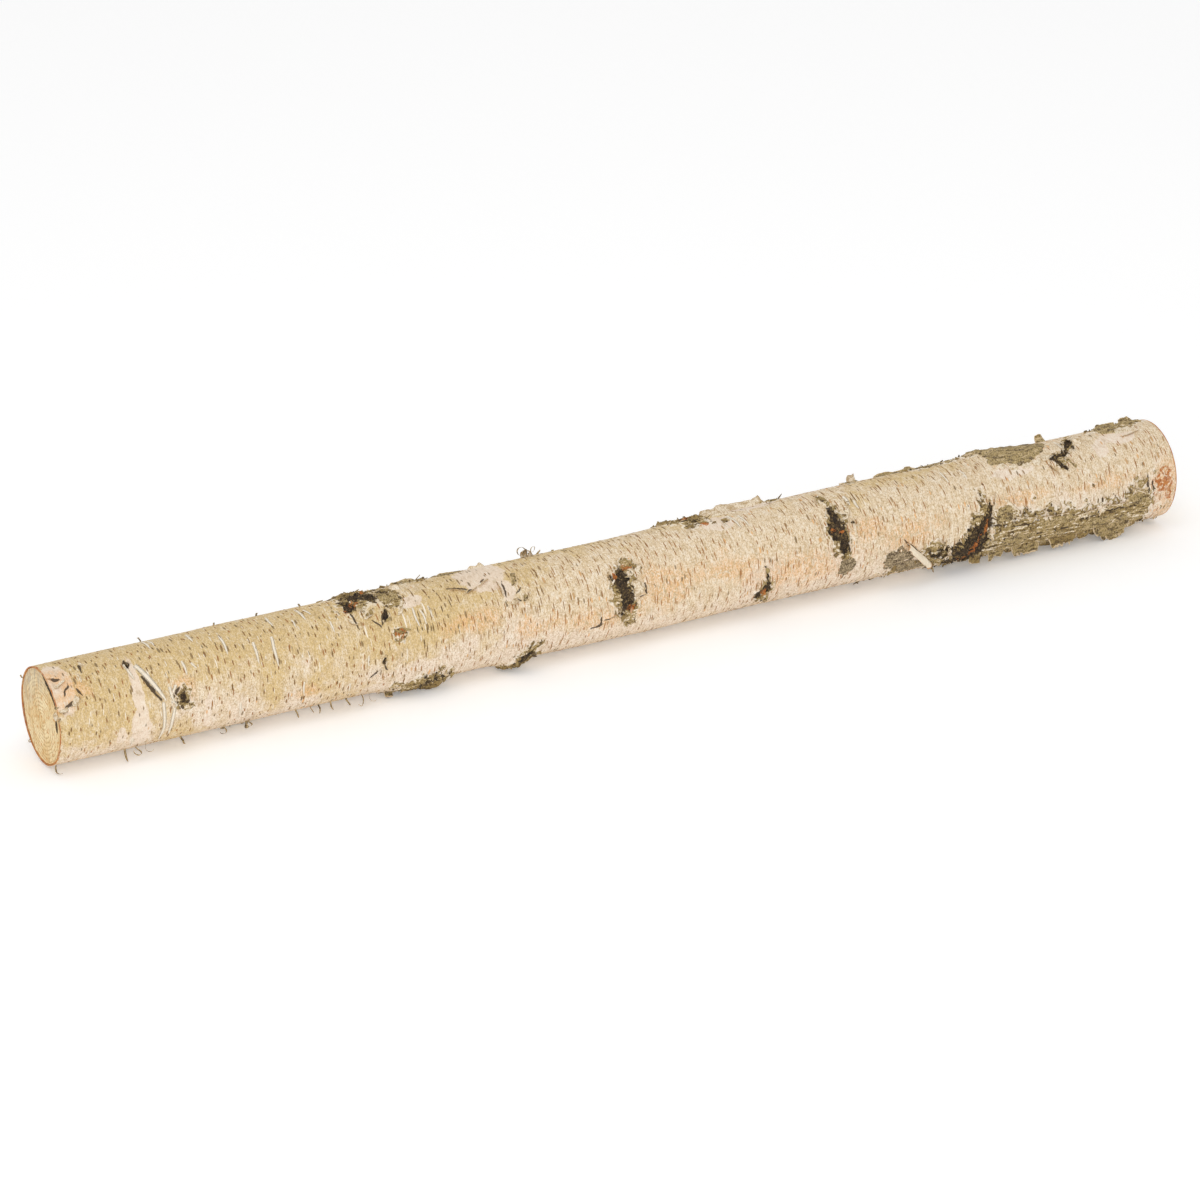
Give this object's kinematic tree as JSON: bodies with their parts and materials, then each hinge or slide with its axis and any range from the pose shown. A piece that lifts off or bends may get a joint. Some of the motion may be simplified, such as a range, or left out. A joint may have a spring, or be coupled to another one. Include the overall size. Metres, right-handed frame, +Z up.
{
  "type": "wood log",
  "caption": "Straight length of birch pole with papery white bark and knots, sawn square at both ends, for stacking, decoration or craft use; lies on its side",
  "frame": {"origin": "the middle of the log's box, on the floor that it lies on", "axes": "+X runs along the log from the small sawn end to the large one, +Z up, and the log's front faces -Y"},
  "size_m": [1, 0.0832, 0.0863],
  "materials": {
    "bark": "papery, matt to slightly silky birch bark with lenticels",
    "sawn_wood": "raw saw cut, matt, with growth rings"
  },
  "bodies": {
    "root": {"log": "bark"}
  },
  "joints": []
}
